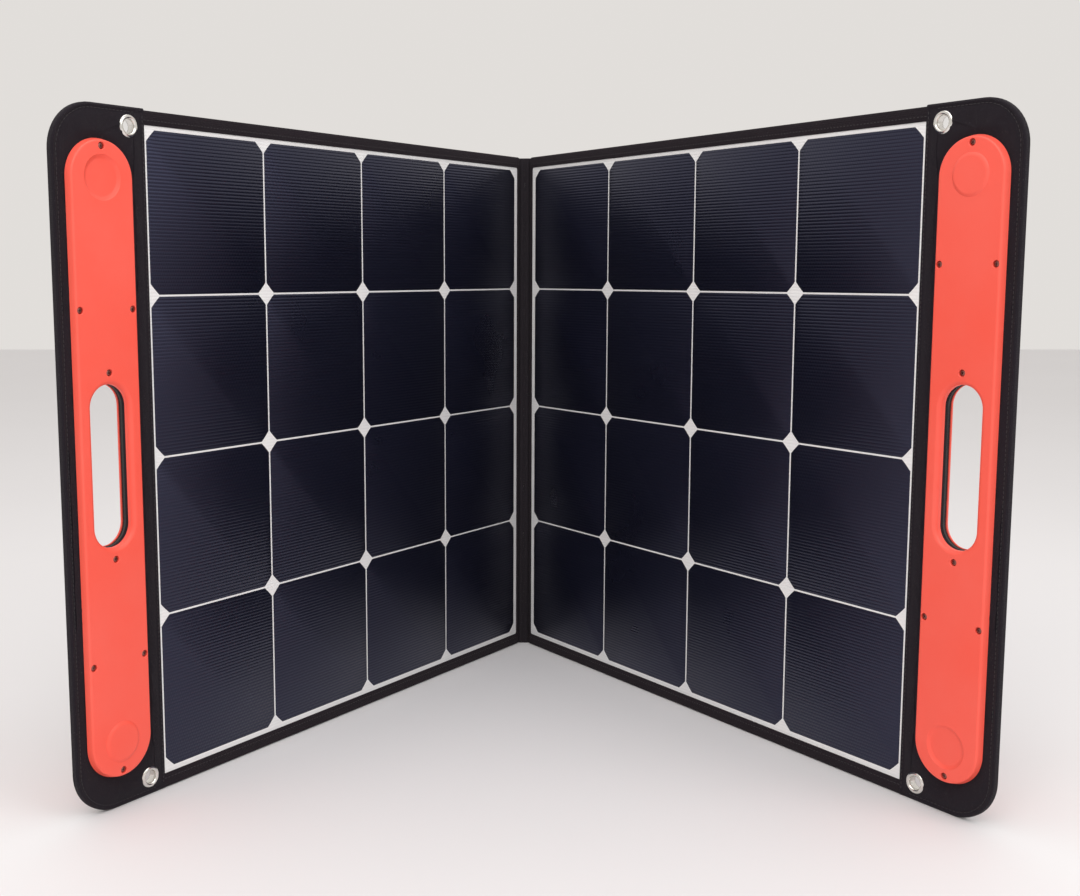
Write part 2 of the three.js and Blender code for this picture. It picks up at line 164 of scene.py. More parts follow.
def lay_flat(mesh, points):
    """Gives a mesh its flat coordinates in metres: x and z, with w added to both."""
    layer = mesh.uv_layers.get("flat") or mesh.uv_layers.new(name="flat")
    corner = np.empty(len(mesh.loops), np.int32)
    mesh.loops.foreach_get("vertex_index", corner)
    flat = (points[corner, :2] + points[corner, 2:]) * MM
    layer.data.foreach_set("uv", flat.astype(np.float32).ravel())


def turn_outwards(mesh):
    shell = bmesh.new()
    shell.from_mesh(mesh)
    bmesh.ops.recalc_face_normals(shell, faces=shell.faces)
    shell.to_mesh(mesh)
    shell.free()


def unit(vector):
    return vector / (np.linalg.norm(vector) + 1e-12)


def loop(x0, x1, z0, z1, radii, long=40, short=8, arc=10):
    """A rounded rectangle as points, anticlockwise from its lower left, always the same count."""
    radii = np.maximum(np.broadcast_to(radii, 4), 0.01)
    corners = np.array([(x0, z0), (x1, z0), (x1, z1), (x0, z1)])
    centres = corners + np.array([(1, 1), (-1, 1), (-1, -1), (1, -1)]) * radii[:, None]
    points = []
    for i in range(4):
        start, after = math.pi + i * math.pi / 2, (i + 1) % 4
        turn = start + np.linspace(0, math.pi / 2, arc, endpoint=False)
        points.extend(centres[i] + radii[i] * np.column_stack([np.cos(turn), np.sin(turn)]))
        end = np.array([math.cos(start + math.pi / 2), math.sin(start + math.pi / 2)])
        first, last = centres[i] + radii[i] * end, centres[after] + radii[after] * end
        for share in np.linspace(0, 1, long if i % 2 else short, endpoint=False):
            points.append(first + (last - first) * share)
    return np.array(points)


def skin(rings, size, closed=False, start=0):
    """Faces over rings of points. Closed rings join last to first, others get end caps."""
    faces = []
    for k in range(rings if closed else rings - 1):
        a, b = start + k * size, start + (k + 1) % rings * size
        for i in range(size):
            j = (i + 1) % size
            faces.append((a + i, a + j, b + j, b + i))
    if not closed:
        faces.append(tuple(reversed(range(start, start + size))))
        faces.append(tuple(range(start + (rings - 1) * size, start + rings * size)))
    return faces


def ringed(rings, closed=False):
    """Points and faces of a skin over (loop, w) rings."""
    points = [np.column_stack([outline, np.full(len(outline), w)]) for outline, w in rings]
    return np.concatenate(points), skin(len(rings), len(points[0]), closed)


def merged(shapes):
    """Points and faces of several shapes as one."""
    points, faces = [], []
    for some, more in shapes:
        faces.extend(tuple(i + len(points) for i in face) for face in more)
        points.extend(some)
    return points, faces


def bead(w0, w1, radius, steps):
    """(inset, w) pairs up a rounded edge from the back face to the front face."""
    turn = np.linspace(0, math.pi / 2, steps + 1)
    pairs = list(zip(radius * (1 - np.sin(turn)), w0 + radius * (1 - np.cos(turn))))
    return pairs + [(inset, w0 + w1 - w) for inset, w in reversed(pairs)]


def rounded_slab(x0, x1, z0, z1, w0, w1, radii, edge, steps, **counts):
    """Points and faces of a slab with rounded corners and rounded edges."""
    radii = np.broadcast_to(radii, 4)
    return ringed([(loop(x0 + inset, x1 - inset, z0 + inset, z1 - inset, radii - inset, **counts), w)
                   for inset, w in bead(w0, w1, edge, steps)])


def turned(profile, centre, segments, closed=False):
    """A solid turned about w from (radius, w) pairs, listed from the back to the front."""
    angles = np.linspace(0, 2 * math.pi, segments, endpoint=False)
    circle = np.column_stack([np.cos(angles), np.sin(angles)])
    return ringed([(centre + circle * radius, w) for radius, w in profile], closed)


def applied(piece):
    """Makes a piece's modifiers part of its mesh."""
    graph = bpy.context.evaluated_depsgraph_get()
    mesh = bpy.data.meshes.new_from_object(piece.evaluated_get(graph))
    piece.modifiers.clear()
    piece.data = mesh
    return mesh


def boolean(piece, half, shapes, operation="DIFFERENCE"):
    """Cuts shapes out of a piece, or joins them to it."""
    tools = [build("cutter", shape, None, half, body="none") for shape in shapes]
    for tool in tools:
        step = piece.modifiers.new("cut", "BOOLEAN")
        step.object = tool
        step.operation = operation
        step.solver = "EXACT"
    mesh = applied(piece)
    mesh.shade_smooth()
    mesh.set_sharp_from_angle(angle=math.radians(32))
    for tool in tools:
        bpy.data.objects.remove(tool)


def settle(piece, held, cap, pressure, slack, frames=22):
    """Lets cloth find its own creases by simulation: held points stay, the rest moves up to cap."""
    mesh = piece.data
    rest = np.array([v.co for v in mesh.vertices])
    group = piece.vertex_groups.new(name="held")
    group.add([int(i) for i in np.flatnonzero(held)], 1.0, "REPLACE")
    step = piece.modifiers.new("cloth", "CLOTH")
    cloth = {"quality": 6, "mass": 0.12, "tension_stiffness": 14, "compression_stiffness": 14,
             "shear_stiffness": 6, "bending_stiffness": 0.2, "shrink_min": -slack,
             "use_pressure": True, "uniform_pressure_force": pressure, "vertex_group_mass": "held"}
    for key, value in cloth.items():
        setattr(step.settings, key, value)
    step.collision_settings.use_collision = False
    step.point_cache.frame_start = 1
    step.point_cache.frame_end = frames
    for number in range(1, frames + 1):
        bpy.context.scene.frame_set(number)
    graph = bpy.context.evaluated_depsgraph_get()
    found = piece.evaluated_get(graph).data
    moved = np.array([v.co for v in found.vertices]) - rest
    length = np.linalg.norm(moved, axis=1)[:, None] + 1e-12
    moved *= np.minimum(1, cap * np.tanh(length / cap) / length)
    piece.modifiers.clear()
    piece.vertex_groups.clear()
    mesh.vertices.foreach_set("co", (rest + moved).astype(np.float32).ravel())
    mesh.update()
    bpy.context.scene.frame_set(1)


def remeshed(piece, voxel, half):
    """Evens a closed piece's mesh for simulation, and lays its flat coordinates again."""
    step = piece.modifiers.new("even", "REMESH")
    step.mode = "VOXEL"
    step.voxel_size = voxel * MM
    mesh = applied(piece)
    points = half.local([v.co for v in mesh.vertices])
    lay_flat(mesh, points)
    mesh.shade_smooth()
    return points


def even_normals(piece):
    """Shades a cut face flat right up to its rolled edges."""
    step = piece.modifiers.new("normals", "WEIGHTED_NORMAL")
    step.keep_sharp = True
    step.weight = 90
    applied(piece)


def stitches(name, lines, half, body=None):
    """Thread stitches along lines of (x, z, w) points, one capsule a stitch, facing along w."""
    sides, shape = 5, [(-1, 0.35), (-0.6, 0.95), (0.6, 0.95), (1, 0.35)]
    turns = 2 * math.pi * np.arange(sides)[:, None] / sides
    points, faces = [], []
    for line, facing in lines:
        line = np.asarray(line, float)
        along = np.concatenate([[0], np.cumsum(np.linalg.norm(np.diff(line, axis=0), axis=1))])
        up = np.array([0, 0, facing], float)
        count = max(1, int(along[-1] / STITCH["pitch"]))
        for middle in (np.arange(count) + 0.5) * along[-1] / count:
            behind, centre, ahead = (
                np.array([np.interp(middle + step, along, axis) for axis in line.T])
                for step in (-0.1, 0, 0.1))
            t = unit(ahead - behind)
            across = unit(np.cross(t, up))
            lean = t + across * RNG.uniform(-0.12, 0.12)
            spokes = across * np.cos(turns) + up * np.sin(turns)
            faces.extend(skin(len(shape), sides, start=len(points)))
            for s, size in shape:
                sunk = STITCH["radius"] * (0.9 if abs(s) == 1 else 0.1)
                base = centre + lean * s * STITCH["length"] / 2 - up * sunk
                points.extend(base + spokes * size * STITCH["radius"])
    build(name, (points, faces), THREAD, half, smooth=80, body=body)


# ---------------------------------------------------------------- materials

class Shader:
    """A material with one Principled shader, and short ways to add nodes to it."""

    def __init__(self, name, **values):
        self.material = bpy.data.materials.new(name)
        self.material.use_nodes = True
        self.tree = self.material.node_tree
        self.surface = self.tree.nodes["Principled BSDF"]
        for key, value in values.items():
            self.surface.inputs[key.replace("_", " ")].default_value = value

    def add(self, kind, inputs=(), **settings):
        node = self.tree.nodes.new(kind)
        for key, value in settings.items():
            setattr(node, key, value)
        for key, value in dict(inputs).items():
            self.put(node.inputs[key], value)
        return node

    def put(self, socket, value):
        if isinstance(value, bpy.types.NodeSocket):
            self.tree.links.new(value, socket)
        else:
            socket.default_value = value

    def math(self, operation, *values):
        return self.add("ShaderNodeMath", enumerate(values), operation=operation).outputs[0]

    def times(self, first, second):
        return self.math("MULTIPLY", first, second)

    def wave(self, value):
        """Even humps, one for each step of 1."""
        return self.math("ABSOLUTE", self.math("SINE", self.times(value, math.pi)))

    def flat(self):
        """The two flat coordinates, in metres."""
        uv = self.add("ShaderNodeUVMap", uv_map="flat")
        split = self.add("ShaderNodeSeparateXYZ", {0: uv.outputs[0]})
        return split.outputs[0], split.outputs[1]

    def place(self):
        return self.add("ShaderNodeTexCoord").outputs["Object"]

    def noise(self, scale, detail=3.0, roughness=0.5, vector=None):
        node = self.add("ShaderNodeTexNoise", {"Scale": scale, "Detail": detail,
                                               "Roughness": roughness})
        self.tree.links.new(vector or self.place(), node.inputs["Vector"])
        return node.outputs[0]

    def ramp(self, value, low, high, out_low=0.0, out_high=1.0):
        node = self.add("ShaderNodeMapRange", {0: value, 1: low, 2: high, 3: out_low, 4: out_high})
        return node.outputs[0]

    def mix(self, share, first, second):
        node = self.add("ShaderNodeMix", {0: share, 6: first, 7: second}, data_type="RGBA")
        return node.outputs[2]

    def blend_values(self, share, first, second):
        return self.add("ShaderNodeMix", {0: share, 2: first, 3: second}).outputs[0]

    def bump(self, height, distance, strength=1.0, under=None, socket="Normal"):
        bump = self.add("ShaderNodeBump", {"Height": height, "Distance": distance,
                                           "Strength": strength})
        if under:
            self.put(bump.inputs["Normal"], under)
        self.put(self.surface.inputs[socket], bump.outputs[0])
        return bump.outputs[0]

    def color(self, value):
        self.put(self.surface.inputs["Base Color"], value)

    def rough(self, value):
        self.put(self.surface.inputs["Roughness"], value)


def grey(value, tint=(1, 1, 1)):
    return (value * tint[0], value * tint[1], value * tint[2], 1)


def weave_material(name, dark, light, pitch, rough=0.88, sheen=0.05, rib=1.0):
    """Plain-woven cloth: two sets of yarns over and under, slubs, fluff and a little dust."""
    s = Shader(name, Sheen_Weight=sheen, Sheen_Roughness=0.45, Specular_IOR_Level=0.16)
    u, v = s.flat()
    across = s.times(u, 1 / pitch)
    along = s.times(v, rib / pitch)
    wave = [s.wave(across), s.wave(along)]
    parity = s.math("MODULO", s.math("ABSOLUTE", s.math(
        "ADD", s.math("FLOOR", across), s.math("FLOOR", along))), 2)
    yarn = s.blend_values(parity, wave[0], wave[1])
    slub = s.noise(900, 2)
    cloud = s.noise(9, 4, 0.6)
    fluff = s.ramp(s.noise(1500, 1, 0.3), 0.71, 0.78)
    tone = s.math("ADD", s.times(yarn, 0.55), s.times(slub, 0.45))
    tone = s.times(tone, s.ramp(cloud, 0.25, 0.75, 0.72, 1.2))
    base = s.mix(tone, dark, light)
    s.color(s.mix(s.times(fluff, 0.3), base, grey(0.22, (1, 0.96, 0.92))))
    s.rough(s.ramp(cloud, 0.3, 0.7, rough - 0.06, rough + 0.06))
    height = s.math("ADD", yarn, s.times(slub, 0.35))
    soft = s.bump(s.noise(55, 3, 0.55), 0.0007, 0.5)
    s.bump(height, pitch * 0.28, 0.9, under=soft)
    return s.material


def emboss(s, depth):
    """The cover film's fine pattern: level rows of small domes, staggered from row to row."""
    u, v = s.flat()
    row = s.times(v, 1 / EMBOSS["row"])
    stagger = s.times(s.math("FLOOR", row), 0.5)
    place = s.math("ADD", s.times(u, 1 / EMBOSS["dome"]), stagger)
    ridge, dome = s.wave(row), s.wave(place)
    height = s.times(ridge, s.math("ADD", s.times(dome, 0.45), 0.55))
    s.bump(height, depth)
    s.bump(height, depth, socket="Coat Normal")
    return height


def cell_material():
    """Navy-black silicon under the embossed film, with a painted sheen on the tops of the emboss
    rows. Each cell has its own slight tone.
    """
    s = Shader("silicon_cell", Coat_Weight=0.2, Coat_Roughness=0.22, Coat_IOR=1.4,
               Specular_IOR_Level=0.68, Specular_Tint=(0.54, 0.57, 1.0, 1))
    height = emboss(s, 0.00024)
    tone = s.add("ShaderNodeAttribute", attribute_name="cell_tone").outputs["Fac"]
    cloud = s.noise(14, 3)
    deep = s.mix(tone, grey(0.0027, (0.9, 1.0, 2.4)), grey(0.0037, (0.95, 1.0, 2.2)))
    # Painted sheen: the emboss ridges are painted a lighter slate, standing in for the film's
    # reflections of the bright room.
    painted_ridge_sheen = s.times(s.ramp(height, 0.35, 1.0), 0.5)
    lit = s.mix(painted_ridge_sheen, deep, grey(0.011, (0.85, 0.9, 1.6)))
    s.color(s.mix(s.ramp(cloud, 0.35, 0.75, 0, 0.35), lit, grey(0.004, (0.9, 0.95, 2.0))))
    s.rough(s.ramp(cloud, 0.3, 0.7, 0.27, 0.34))
    return s.material


def sheet_material():
    """White back sheet under the same film, with a faint warm unevenness and painted shade in the
    emboss hollows.
    """
    s = Shader("white_back_sheet", Coat_Weight=0.4, Coat_Roughness=0.3, Coat_IOR=1.4)
    height = emboss(s, 0.00016)
    cloud = s.noise(30, 4)
    base = s.mix(s.ramp(cloud, 0.3, 0.7), grey(0.86, (1, 1, 1.01)), grey(0.92, (1, 0.995, 0.99)))
    # Painted shade: the emboss hollows are painted a darker grey.
    s.color(s.mix(s.ramp(height, 0.35, 0.0, 0, 0.3), base, grey(0.66, (1, 1, 1.03))))
    s.rough(s.ramp(cloud, 0.2, 0.8, 0.42, 0.55))
    return s.material


def orange_material():
    """Moulded coral-orange plastic with a fine grain, handling marks and faint scratches."""
    s = Shader("coral_plastic", Specular_IOR_Level=0.42)
    grain = s.noise(2600, 2, 0.5)
    cloud = s.noise(12, 4, 0.6)
    marks = s.noise(60, 5, 0.7)
    base = s.mix(s.ramp(cloud, 0.3, 0.7), (1.0, 0.11, 0.071, 1), (1.0, 0.132, 0.093, 1))
    u, v = s.flat()
    streak_place = s.add("ShaderNodeCombineXYZ", {0: s.times(u, 900.0), 1: s.times(v, 16.0)})
    streak = s.noise(1.0, 2, 0.5, streak_place.outputs[0])
    scratch = s.times(s.ramp(streak, 0.71, 0.75), s.ramp(marks, 0.5, 0.62))
    s.color(s.mix(s.times(scratch, 0.22), base, (1.0, 0.30, 0.22, 1)))
    worn = s.math("ADD", s.ramp(marks, 0.3, 0.7, 0.36, 0.5), s.times(scratch, 0.12))
    s.rough(worn)
    under = s.bump(scratch, -0.00004, 0.5)
    s.bump(grain, 0.00005, 0.35, under=under)
    return s.material


def metal_material(name, color, rough):
    """Plated metal with cloudy roughness and fine scuffs."""
    s = Shader(name, Metallic=1.0)
    cloud = s.noise(240, 4, 0.6)
    fine = s.noise(2200, 3, 0.6)
    s.color(s.mix(s.ramp(cloud, 0.35, 0.7), color, tuple(c * 0.86 for c in color[:3]) + (1,)))
    s.rough(s.ramp(fine, 0.35, 0.75, rough, rough + 0.15))
    s.bump(fine, 0.00003, 0.3)
    return s.material


def plastic_material(name, color, rough=0.52, grain=0.00008):
    """Moulded plastic with a spark-eroded grain."""
    s = Shader(name, Specular_IOR_Level=0.4)
    spark = s.noise(1700, 4, 0.65)
    cloud = s.noise(25, 3)
    s.color(s.mix(s.ramp(cloud, 0.3, 0.7), color, tuple(c * 1.25 for c in color[:3]) + (1,)))
    s.rough(s.ramp(cloud, 0.3, 0.7, rough - 0.06, rough + 0.08))
    s.bump(spark, grain, 0.6)
    return s.material


BLACK = weave_material("black_cloth", grey(0.0052, (1.14, 0.84, 1.28)),
                       grey(0.0205, (1.14, 0.85, 1.22)), 0.62 * MM)
BACK_CLOTH = weave_material("back_cloth", grey(0.007, (1.12, 0.88, 1.18)),
                            grey(0.026, (1.12, 0.9, 1.14)), 0.95 * MM, rough=0.82)
WEBBING = weave_material("webbing", grey(0.0065, (1.1, 0.9, 1.12)), grey(0.027, (1.1, 0.92, 1.1)),
                         1.5 * MM, sheen=0.08, rib=0.45)
TAPE = weave_material("binding_tape", grey(0.0048, (1.25, 0.8, 1.2)),
                      grey(0.019, (1.22, 0.82, 1.16)), 0.8 * MM, rib=0.5)
THREAD = plastic_material("thread", grey(0.034, (1.08, 0.95, 1.04)), 0.6, 0.0001)
CELL_FACE = cell_material()
SHEET_FACE = sheet_material()
ORANGE = orange_material()
NICKEL = metal_material("bright_nickel", (0.80, 0.78, 0.74, 1), 0.16)
# Dark steel with a reddish tint: the tint is a painted reflection of the orange handle round its
# screws.
STEEL_PAINTED_ORANGE_REFLECTION = metal_material("steel_painted_orange_reflection", (0.33, 0.14, 0.12, 1), 0.34)
GUNMETAL = metal_material("gunmetal", (0.22, 0.22, 0.225, 1), 0.28)
BLACK_PLASTIC = plastic_material("black_plastic", grey(0.012, (1.04, 0.98, 1.04)))
BOARD = plastic_material("core_board_plastic", grey(0.04), 0.7)


# ---------------------------------------------------------------- camera, light and floor

def make_camera():
    data = bpy.data.cameras.new("camera")
    data.sensor_width = 36
    data.lens = CAMERA_FOCAL
    data.shift_x, data.shift_y = CAMERA_SHIFT
    camera = placed("camera", data)
    fold_y = JOINTS["left_fold"]["pos_m"][1]
    x, y, z = np.array(CAMERA_FROM_FOLD) * MM
    camera.location = (x, fold_y + y, z)
    pitch, roll, yaw = (math.radians(a) for a in CAMERA_TURN)
    turn = Matrix.Rotation(yaw, 3, "Z") @ Matrix.Rotation(pitch, 3, "X")
    turn = turn @ Matrix.Rotation(roll, 3, "Y") @ Matrix.Rotation(math.pi / 2, 3, "X")
    camera.rotation_mode = "QUATERNION"
    camera.rotation_quaternion = turn.to_quaternion()
    bpy.context.scene.camera = camera


def area_light(name, place, target, size, watts, color):
    data = bpy.data.lights.new(name, "AREA")
    data.shape = "RECTANGLE"
    data.size, data.size_y = size
    data.energy = watts
    data.color = color
    light = placed(name, data)
    light.location = place
    light.rotation_mode = "QUATERNION"
    light.rotation_quaternion = (Vector(target) - Vector(place)).to_track_quat("-Z", "Y")


def make_studio():
    floor_material = Shader("pale_floor", Roughness=0.7)
    floor_material.color(floor_material.mix(
        floor_material.noise(1.2, 4), grey(0.80, (1, 0.985, 1.0)), grey(0.84, (1, 0.99, 1.005))))
    size = 6.0
    corners = [(-size, -size, 0), (size, -size, 0), (size, size, 0), (-size, size, 0)]
    mesh = bpy.data.meshes.new("floor")
    mesh.from_pydata(corners, [], [(0, 1, 2, 3)])
    mesh.materials.append(floor_material.material)
    placed("floor", mesh)
    world = bpy.data.worlds.new("studio")
    world.use_nodes = True
    world.node_tree.nodes["Background"].inputs[0].default_value = (0.86, 0.83, 0.80, 1)
    world.node_tree.nodes["Background"].inputs[1].default_value = 0.88
    bpy.context.scene.world = world
    area_light("key", (-0.35, -2.0, 2.1), (0, 0, 0.1), (1.8, 1.2), 21, (1, 0.98, 0.96))
    area_light("fill", (1.6, -1.2, 1.6), (0, 0, 0.25), (1.4, 1.4), 9, (0.97, 0.98, 1))
    area_light("top", (0, -0.25, 2.4), (0, -0.1, 0), (1.6, 1.6), 13, (1, 0.99, 1))
    bpy.context.scene.view_settings.view_transform = "Standard"


# ---------------------------------------------------------------- laminate

def cell_outline(x, z):
    """A wafer's outline: straight sides and gently curved clipped corners."""
    centre = np.array([x + CELL_PITCH / 2, z + CELL_PITCH / 2])
    reach = math.hypot(CELL / 2, CELL / 2 - CELL_CLIP)
    low = math.atan2(CELL / 2 - CELL_CLIP, CELL / 2)
    corner = np.linspace(low, math.pi / 2 - low, 7)
    turn = np.concatenate([corner + quarter * math.pi / 2 for quarter in range(4)])
    return centre + reach * np.column_stack([np.cos(turn), np.sin(turn)])


def make_cells(half):
    """Sixteen wafers, a hair proud of the sheet, each with its own tone."""
    lo = half.box("cell_string")[0] - (CELL_PITCH - CELL) / 2
    top = half.box("front_film")[1][2] - 0.02
    shapes, tones = [], []
    for column in range(CELLS):
        for row in range(CELLS):
            outline = cell_outline(lo[0] + column * CELL_PITCH, lo[1] + row * CELL_PITCH)
            middle = outline.mean(0)
            inner = middle + (outline - middle) * (1 - 0.25 / (CELL / 2))
            shapes.append(ringed([(outline, top - 0.33), (outline, top - 0.12), (inner, top)]))
            tones.extend([RNG.random()] * len(shapes[-1][0]))
    cells = build("cells", merged(shapes), CELL_FACE, half, node="cell_string")
    tone = cells.data.attributes.new("cell_tone", "FLOAT", "POINT")
    tone.data.foreach_set("value", tones)


def make_sheet(half):
    """The white sheet and its film, seen between and round the cells, tucked into the sleeve."""
    lo, hi = half.box("front_film")
    back = half.box("back_sheet")[0][2]
    slab = rounded_slab(lo[0], hi[0] + TUCK, lo[1], hi[1], back, hi[2] - 0.2, 0.5,
                        0.1, 1, long=2, short=2, arc=2)
    build("white_sheet", slab, SHEET_FACE, half, node="back_sheet front_film")


# ---------------------------------------------------------------- cloth edges

def binding_section(outer, window, back_window, w0, w1):
    """Tape folded over an edge: rings from the lip on the back, round the edge, to the front lip."""
    x0, x1, z0, z1 = outer

    def lip(hole, w):
        a0, a1, b0, b1 = hole
        return [(loop(a0 - out, a1, b0 - out, b1 + out, WINDOW_CORNERS), w(drop))
                for out, drop in ((0.5, 0), (0.15, 0.15), (0, 0.45))]

    rings = lip(back_window, lambda drop: w0 + drop)[::-1]
    for inset, w in bead(w0, w1, 1.1, 5):
        rings.append((loop(x0 + inset, x1, z0 + inset, z1 - inset, [3, 0, 0, 3]), w))
    rings += lip(window, lambda drop: w1 - drop)
    rings.append((loop(*window, WINDOW_CORNERS), 1.2))
    rings.append((loop(*back_window, WINDOW_CORNERS), 0.4))
    return rings


def make_binding(half):
    """The tape round the laminate's three free sides, front and back, with its stitches."""
    lo, hi = half.box("border_binding")
    hi[0] += TUCK
    back = half.box("back_cover")[0][2] - BACK_LIP["rise"]
    cells_lo, cells_hi = half.box("cell_string")
    window = (WINDOW["inner"], hi[0], cells_lo[1] - WINDOW["below"], cells_hi[1] + WINDOW["above"])
    wide = BACK_LIP["width"]
    back_window = (BACK_LIP["inner"], hi[0], lo[1] + wide, hi[1] - wide)
    outer = (lo[0], hi[0], lo[1], hi[1])
    points, faces = ringed(binding_section(outer, window, back_window, back, hi[2]), closed=True)
    build("edge_binding", (ripple(points), faces), TAPE, half, node="border_binding")
    lines = []
    for hole, w, facing in ((window, hi[2], 1), (back_window, back, -1)):
        for z in ((lo[1] + 2 * hole[2]) / 3, (hi[1] + 2 * hole[3]) / 3):
            lines.append(([(lo[0] + 2, z, w), (hi[0], z, w)], facing))
    stitches("edge_stitches", lines, half)


def ripple(points):
    """Moves points slightly along w, as cloth lies."""
    x, z = points[:, :2].T
    swell = np.sin(x / 23) * np.cos(z / 39.1) + 0.6 * np.sin((x + z) / 12.19)
    return points + np.outer(0.072 * swell, [0, 0, 1])


def make_sleeve(half):
    """The padded sleeve: full between its edge piping and the pinch under the handle."""
    lo, hi = half.box("handle_sleeve")
    lo[0] += SLEEVE_GAP
    plate_lo, plate_hi = half.box("handle_front_plate")
    middle_x, middle_z = half.middle("handle_front_plate")
    eyes = [half.middle(f"{end}_eyelet") for end in ("upper", "lower")]
    radii = np.array([1.2, 36, 36, 1.2])
    counts = {"long": 90, "short": 16, "arc": 14}

    def edge_loop(inset):
        return loop(lo[0] + inset, hi[0] - inset, lo[1] + inset, hi[1] - inset,
                    np.maximum(radii - inset, 0.4), **counts)

    def plate_loop(grow):
        x0, x1 = plate_lo[0] - grow, plate_hi[0] + grow
        round_end = (x1 - x0) / 2 - 0.5
        return loop(x0, x1, plate_lo[1] - grow, plate_hi[1] + grow, round_end, **counts)

    x, z = HAND_HOLE + 0.3
    hole = loop(middle_x - x, middle_x + x, middle_z - z, middle_z + z, x - 0.3, **counts)
    face = hi[2]
    rings = [(edge_loop(inset), w) for inset, w in bead(-face, face, 1.9, 5)]
    edge = len(rings)
    front = [(3.2, -0.5), (4.6, -0.55), (6.5, -0.12), (9.5, 0.12)]
    cover = [(edge_loop(inset), face + w) for inset, w in front]
    start, end = edge_loop(11.5), plate_loop(5)
    for share, w in ((0.0, 0.22), (0.35, 0.3), (0.7, 0.2), (1.0, 0.05)):
        cover.append((start + (end - start) * share, face + w))
    cover.append((plate_loop(1.5), face - 0.35))
    cover.append((plate_loop(-3), face - 0.6))
    cover.append((hole, face - 0.6))
    rings += cover + [(outline, -w) for outline, w in reversed(cover)]
    points, faces = ringed(rings, closed=True)
    sleeve = build("sleeve", (points, faces), BLACK, half, node="handle_sleeve", smooth=50,
                   body="none")
    ring = np.arange(len(points)) // len(hole)
    pinched = np.abs(ring - (edge + len(cover) - 0.5)) < 3
    sewn = np.isin(ring, [edge + 1, edge + 2, len(rings) - 2, len(rings) - 3])
    held = pinched | sewn | (ring < edge) | (points[:, 0] < lo[0] + 9)
    for eye in eyes:
        held |= np.linalg.norm(points[:, :2] - eye, axis=1) < 11
    settle(sleeve, held, cap=0.7 * MM, pressure=0.6, slack=0.012)
    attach(sleeve, half.body)
    bore = [(5.8, -8), (5.8, 8)]
    boolean(sleeve, half, [turned(bore, eye, 24) for eye in eyes])
    seam = edge_loop(3.9)
    seam = np.concatenate([seam, seam[:1]])
    seam = seam[seam[:, 0] > lo[0] + 8]
    inner = np.array([[lo[0] + 2.6, z] for z in np.linspace(lo[1] + 5, hi[1] - 5, 60)])
    lines = []
    for facing in (1, -1):
        for run, sunk in ((seam, 0.42), (inner, 0.2)):
            lines.append((at_height(run, facing * (face - sunk)), facing))
    stitches("sleeve_stitches", lines, half)


def at_height(outline, w):
    """(x, z) points lifted to w."""
    return np.column_stack([outline, np.broadcast_to(w, len(outline))])


# ---------------------------------------------------------------- handle

def make_plate(half, end):
    """A handle plate with drafted sides, a rolled edge, the hand hole and its screw seats."""
    lo, hi = half.box(f"handle_{end}_plate")
    sign = 1 if end == "front" else -1
    foot, face = (lo[2], hi[2]) if end == "front" else (hi[2], lo[2])
    if end == "front":
        face = half.box("handle_screw_1")[1][2] + 0.9
    middle = half.middle(f"handle_{end}_plate")
    height = abs(face - foot)

    def ring(half_width, half_length, rise):
        (x0, z0), (x1, z1) = middle - (half_width, half_length), middle + (half_width, half_length)
        outline = loop(x0, x1, z0, z1, half_width - 0.3, long=60, short=2, arc=26)
        return outline, foot + sign * rise

    width, length = (hi[0] - lo[0]) / 2, (hi[1] - lo[1]) / 2
    rings = [ring(width - 0.4, length - 0.4, 0), ring(width, length, 0.4)]
    draft, roll = 1.1, 1.7
    for turn in np.linspace(0, math.pi / 2, 6):
        inset = draft + roll * (1 - math.cos(turn))
        rings.append(ring(width - inset, length - inset, height - roll * (1 - math.sin(turn))))
    hole, tall = HAND_HOLE
    edge, rim = rings[-1][0], ring(hole + 3.4, tall + 3.4, height)[0]
    rings += [(edge + (rim - edge) * share, face) for share in (0.1, 0.35, 0.65, 0.9)]
    scoop = [(3.4, 0.0), (2.6, 0.12), (1.8, 0.45), (1.1, 1.0), (0.5, 1.8), (0.12, 2.7), (0, 3.4)]
    depth = min(1.0, height / 4.2)
    for grow, drop in scoop:
        rings.append(ring(hole + grow, tall + grow, height - drop * depth))
    rings.append(ring(hole, tall, 0))
    plate = build(f"{end}_handle", ringed(rings, closed=True), ORANGE, half,
                  node=f"handle_{end}_plate")
    if end == "front":
        finish_front(half, plate, middle[0], face)


def finish_front(half, plate, middle_x, face):
    """The raised and sunken magnet bosses that meet when the panel is shut, and the screw seats."""
    places = [(middle_x, half.middle(f"{end}_magnet")[1]) for end in ("upper", "lower")]
    raised, sunken = places if half.side > 0 else reversed(places)
    dome = [(15.9, -1.0), (16.0, -0.12), (15.8, 0.12), (15.2, 0.5), (14.4, 0.92), (13.6, 1.14),
            (12.8, 1.2)]
    dish = [(13.4, -1.6), (13.9, -1.55), (14.7, -1.3), (15.8, -0.72), (16.5, -0.3), (16.9, 0.08),
            (17.6, 1.0)]
    dome, dish = ([(radius, face + rise) for radius, rise in shape] for shape in (dome, dish))
    boolean(plate, half, [turned(dome, raised, 72)], "UNION")
    cuts = [turned(dish, sunken, 72)]
    for i in range(1, 9):
        seat = half.box(f"handle_screw_{i}")[1][2] - 1.8
        cuts.append(turned([(2.7, seat), (2.7, face - 0.3), (3.1, face + 0.05), (3.4, face + 1)],
                           half.middle(f"handle_screw_{i}"), 28))
    boolean(plate, half, cuts)
    even_normals(plate)


